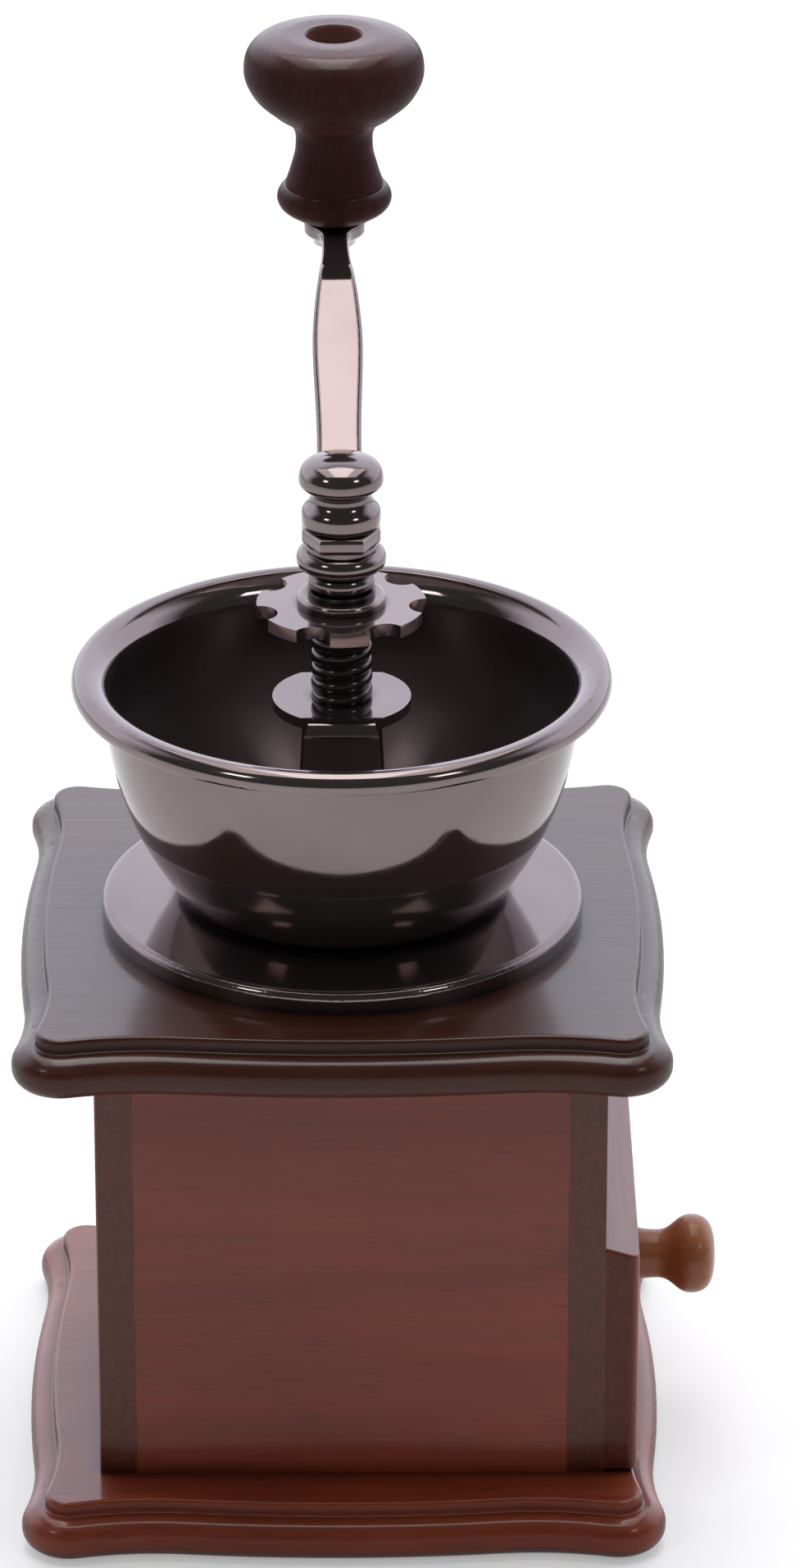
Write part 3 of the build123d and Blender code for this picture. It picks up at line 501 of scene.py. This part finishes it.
pillar_low, pillar_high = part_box("threaded_pillar")
pillar_radius = (pillar_high.x - pillar_low.x) / 2
pillar_root = pillar_radius - 0.5 * mm
pillar_foot = pillar_low.z + 2.0 * mm
pillar_height = pillar_high.z - pillar_foot
spigot_step = 0.2 * mm
bore_radius = 3.75 * mm
bore_depth = 30 * mm
thread_pitch = 2.8 * mm
thread_bulge = 0.55 * mm
thread_turns = int(pillar_height / thread_pitch + 0.1)
thread_cut = pillar_foot + 0.05 * mm
bpy.ops.mesh.primitive_cylinder_add(
    vertices=96, radius=pillar_root, depth=pillar_height, end_fill_type="NGON",
    location=(0, 0, pillar_foot + pillar_height / 2),
)
pillar = newest("threaded_pillar_stud")
bpy.ops.object.transform_apply(location=True)
bpy.ops.object.mode_set(mode="EDIT")
pick(lambda face: face.normal.z < -0.9)
bpy.ops.mesh.inset(thickness=spigot_step)
bpy.ops.mesh.extrude_region_move(TRANSFORM_OT_translate={"value": (0, 0, pillar_low.z - pillar_foot)})
bpy.ops.object.mode_set(mode="OBJECT")
bpy.ops.mesh.primitive_cylinder_add(
    vertices=64, radius=bore_radius, depth=bore_depth * 2, location=(0, 0, pillar_high.z)
)
cut_away(pillar, bpy.context.object)
thread = coil(
    "thread", radius=pillar_radius - thread_bulge, half_width=thread_bulge, half_height=thread_pitch * 0.42,
    foot=pillar_foot - thread_pitch * 0.55, pitch=thread_pitch, turns=thread_turns,
)
bpy.ops.object.mode_set(mode="EDIT")
bpy.ops.mesh.select_all(action="SELECT")
bpy.ops.mesh.bisect(plane_co=(0, 0, thread_cut), plane_no=(0, 0, 1), clear_inner=True, use_fill=True)
close_mesh()
bpy.ops.object.select_all(action="DESELECT")
thread.select_set(True)
pillar.select_set(True)
bpy.context.view_layer.objects.active = pillar
bpy.ops.object.join()
settle(pillar)
oxide = black_nickel("black_oxide", (0.1, 0.085, 0.083, 1), roughness=0.2)
coat(pillar.data, oxide)
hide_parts("threaded_pillar")
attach(pillar, "case")


# Spring: a steel wire spring round the spindle, which presses the turning burr down.
# Its top bears on the bridge's pad and its foot on the burr, so it shortens as the burr rises.
# One wire, wound in seven turns.
spring_steel = steel("spring_steel", (0.5, 0.49, 0.47, 1), 0.22)
spring_low, spring_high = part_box("burr_spring")
spring_turns = 7
wire_radius = 0.7 * mm
spring_rise = spring_high.z - spring_low.z - 2 * wire_radius
spring = coil(
    "wound_burr_spring", radius=(spring_high.x - spring_low.x) / 2 - wire_radius,
    half_width=wire_radius, half_height=wire_radius, foot=spring_low.z + wire_radius,
    pitch=spring_rise / spring_turns, turns=spring_turns,
)
settle(spring)
coat(spring.data, spring_steel)
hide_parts("burr_spring")
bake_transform(spring)


# Turning burr, nut and spindle: the toothed cone that crushes the beans, held on the spindle's end.
# Cast iron for the cone, turned steel for the spindle and the hexagon nut.
dress(burr_iron, "inner_burr")
spindle_steel = steel("spindle_steel", (0.46, 0.45, 0.44, 1), 0.2)
dress(spindle_steel, "spindle", "burr_nut")


# Adjusting wheel, washer and collar: the notched wheel that runs on the pillar's thread,
# the thrust washer on its hub, and the beaded collar under the crank.
# Black nickel, a little paler on the wheel, and dark oxide on the washer.
wheel_nickel = black_nickel("wheel_nickel", paler(nickel_tone, 1.2))
dress(wheel_nickel, "adjusting_wheel")
dress(nickel, "spindle_collar")
dress(oxide, "thrust_washer")


# Crank arm: a flat steel bar, pressed to a hub, an inclined stem and an eye, in black nickel.
# A square in its hub sits on the spindle.
dress(nickel, "crank_arm")


# Cap nut: a turned nut with a beaded foot and a flat button cap, which clamps the crank arm.
# Brass under black nickel.
dress(nickel, "dome_nut")


# Crank knob and pin: a turned mushroom knob with a bead at its foot, free to spin on a riveted pin.
# Espresso stain under satin lacquer, worn to paler wood in the sunk hole, and a steel pin.
# Turned from an outline of radius, level and kind of corner, in millimetres from its foot.
knob_dark = (0.036, 0.0128, 0.0125, 1)
knob_light = (0.07, 0.0235, 0.0225, 1)
knob_bare = (0.3, 0.125, 0.1, 1)
bare_from = 5.35 * mm
bare_within = 5.1 * mm
knob_low, knob_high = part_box("crank_knob")
knob_axis_x = (knob_low.x + knob_high.x) / 2
knob_axis_y = (knob_low.y + knob_high.y) / 2
knob_wood = lacquered_wood(
    "knob_wood", 2, knob_dark, knob_light, knob_light, flats=0.75, sides=0.0, sheen=0.04, hollow_shade_strength=0.0
)
knob_tree = knob_wood.node_tree
knob_shader = knob_tree.nodes["Principled BSDF"]
knob_place = parts_of(knob_tree, knob_tree.nodes["Texture Coordinate"].outputs["Object"])
from_axis_x = arithmetic(knob_tree, "SUBTRACT", knob_place["X"], knob_axis_x)
from_axis_y = arithmetic(knob_tree, "SUBTRACT", knob_place["Y"], knob_axis_y)
square_x = arithmetic(knob_tree, "POWER", from_axis_x, 2.0)
square_y = arithmetic(knob_tree, "POWER", from_axis_y, 2.0)
square_reach = arithmetic(knob_tree, "ADD", square_x, square_y)
sunk = ramp(knob_tree, square_reach, bare_from ** 2, bare_within ** 2)
knob_stain = knob_shader.inputs["Base Color"].links[0].from_socket
set_inputs(knob_tree, knob_shader, Base_Color=blend_colours(knob_tree, sunk, knob_stain, knob_bare))
knob_outline = [
    (3.2, 0.0, "VECTOR"),
    (6.2, 0.0, "VECTOR"),
    (7.6, 0.5, "AUTO"),
    (10.9, 3.8, "AUTO"),
    (9.7, 6.6, "AUTO"),
    (9.3, 6.7, "VECTOR"),
    (9.3, 7.1, "VECTOR"),
    (8.3, 10.2, "AUTO"),
    (7.35, 14.6, "AUTO"),
    (7.9, 18.3, "AUTO"),
    (11.6, 21.3, "AUTO"),
    (15.7, 25.4, "AUTO"),
    (17.1, 30.2, "AUTO"),
    (15.2, 34.7, "AUTO"),
    (10.5, 36.4, "AUTO"),
    (5.5, 36.5, "VECTOR"),
    (5.2, 36.2, "VECTOR"),
    (5.2, 30.5, "VECTOR"),
    (3.2, 30.5, "VECTOR"),
]
bpy.ops.curve.primitive_bezier_curve_add(radius=1, location=(0, 0, 0))
knob_spline = bpy.context.object.data.splines[0]
knob_spline.bezier_points.add(len(knob_outline) - len(knob_spline.bezier_points))
for point, (radius, level, corner) in zip(knob_spline.bezier_points, knob_outline):
    point.co = (radius * mm, 0, level * mm)
    point.handle_left_type = corner
    point.handle_right_type = corner
knob_spline.use_cyclic_u = True
knob_spline.resolution_u = 8
bpy.ops.object.convert(target="MESH")
crank_knob = newest("turned_crank_knob")
bpy.ops.object.mode_set(mode="EDIT")
bpy.ops.mesh.select_all(action="SELECT")
bpy.ops.mesh.spin(steps=96, angle=2 * math.pi, center=(0, 0, 0), axis=(0, 0, 1))
close_mesh()
settle(crank_knob, (knob_axis_x, knob_axis_y, knob_low.z))
coat(crank_knob.data, knob_wood)
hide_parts("crank_knob")
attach(crank_knob, "knob")
dress(spindle_steel, "knob_pin")


# Drawer: an overlay front board, with two sides, a back and a thin bottom behind it.
# The front is stained and lacquered like the case. The rest is bare pale wood.
front_wood = lacquered_wood("case_wood_along", 1, stain_dark, stain_light, stain_end)
bare_along = lacquered_wood("drawer_wood_along", 1, bare_dark, bare_light, bare_end, flats=0.0, sides=0.0)
bare_across = lacquered_wood("drawer_wood_across", 0, bare_dark, bare_light, bare_end, flats=0.0, sides=0.0)
dress(front_wood, "drawer_front")
dress(bare_along, "drawer_back")
dress(bare_across, "drawer_near_side", "drawer_far_side", "drawer_bottom")


# Drawer knob: a small turned knob of lighter wood, held by a screw through the drawer's front.
# Orange-brown stain under satin lacquer, and a round-headed steel screw.
pull_dark = (0.24, 0.078, 0.03, 1)
pull_light = (0.44, 0.165, 0.068, 1)
pull_end = (0.3, 0.115, 0.05, 1)
pull_wood = lacquered_wood("drawer_knob_wood", 0, pull_dark, pull_light, pull_end, flats=0.3, sides=0.3)
dress(pull_wood, "drawer_knob")
pull_low, pull_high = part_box("drawer_knob_screw")
drawer_screw = screw(
    "drawer_knob_screw_1", shank_radius=1.5 * mm, length=pull_high.x - pull_low.x - round_head_height,
    head_radius=3.2 * mm, head_steps=round_head, recess=1.0 * mm, material=screw_steel,
)
pull_level = (pull_low.z + pull_high.z) / 2
settle(drawer_screw, (pull_low.x + round_head_height, 0, pull_level), (0, -math.pi / 2, 0))
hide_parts("drawer_knob_screw")
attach(drawer_screw, "drawer")


# Floor: a plain white studio floor, wide enough for every view.
# It shows white to the camera and to the metal, and it keeps the shadow.
floor_level = -0.2 * mm
floor_glow = 0.34
bpy.ops.mesh.primitive_circle_add(vertices=64, radius=9.0, fill_type="NGON", location=(0, 0, floor_level))
floor = newest("floor")
white_floor, floor_tree, floor_shader, floor_coords = new_material("white_floor")
ray = floor_tree.nodes.new("ShaderNodeLightPath").outputs
seen = arithmetic(floor_tree, "MAXIMUM", ray["Is Camera Ray"], ray["Is Glossy Ray"])
seen = arithmetic(floor_tree, "MAXIMUM", seen, ray["Is Transmission Ray"])
set_inputs(
    floor_tree, floor_shader, Base_Color=(0.78, 0.78, 0.78, 1), Roughness=0.9, Specular_IOR_Level=0.0,
    Emission_Color=(1, 1, 1, 1), Emission_Strength=arithmetic(floor_tree, "MULTIPLY", seen, floor_glow),
)
coat(floor.data, white_floor)


# Studio light: a bright backdrop behind the object, under a dim ceiling, and a dark room before it.
# A wide soft box hangs overhead with a brighter strip along its middle,
# and two small soft boxes stand at the front left and right.
world = bpy.context.scene.world or bpy.data.worlds.new("studio")
bpy.context.scene.world = world
world.use_nodes = True
sky = world.node_tree
direction = sky.nodes.new("ShaderNodeTexCoord")
heading = parts_of(sky, direction.outputs["Generated"])
room_light = (0.075, 0.08, 0.08, 1)
backdrop_light = (1.62, 1.7, 1.95, 1)
ceiling_light = (0.1, 0.1, 0.1, 1)
behind = ramp(sky, heading["Y"], -0.1, 0.3)
high_up = ramp(sky, heading["Z"], 0.62, 0.8)
above = blend_colours(sky, high_up, backdrop_light, ceiling_light)
set_inputs(sky, sky.nodes["Background"], Color=blend_colours(sky, behind, room_light, above))
overhead_aim = (0.0, 0.6, 0.0)
front_aim = (0.0, 0.0, 0.15)
# place, aim, width and length in metres, and power in watts
soft_boxes = [
    ((0.0, 0.6, 2.0), overhead_aim, 1.9, 1.9, 20.0),
    ((0.0, 0.6, 1.98), overhead_aim, 0.7, 1.9, 9.5),
    ((-1.2, -1.08, 1.33), front_aim, 0.36, 0.36, 2.7),
    ((1.2, -1.08, 1.33), front_aim, 0.36, 0.36, 2.7),
]
for place, aim, width, length, power in soft_boxes:
    bpy.ops.object.light_add(type="AREA", location=place)
    lamp = bpy.context.object
    lamp.data.shape = "RECTANGLE"
    lamp.data.size = width
    lamp.data.size_y = length
    lamp.data.energy = power
    lamp.rotation_euler = (Vector(aim) - lamp.location).to_track_quat("-Z", "Y").to_euler()


# Camera: in front of the near side and a little above the rim, with a long lens.
view_lens = 176.9
view_sensor = 36.0
view_distance = 1.4287
view_rise = math.radians(24.63)
view_turn = math.radians(-0.34)
view_target = Vector((0.01075, 0, 0.1319))
view_back = Vector((
    math.sin(view_turn) * math.cos(view_rise),
    -math.cos(view_turn) * math.cos(view_rise),
    math.sin(view_rise),
))
camera_data = bpy.data.cameras.new("camera")
camera_data.lens = view_lens
camera_data.sensor_width = view_sensor
camera = bpy.data.objects.new("camera", camera_data)
bpy.context.scene.collection.objects.link(camera)
camera.location = view_target + view_back * view_distance
camera.rotation_euler = (-view_back).to_track_quat("-Z", "Y").to_euler()
bpy.context.scene.camera = camera
bpy.context.scene.view_settings.view_transform = "Standard"
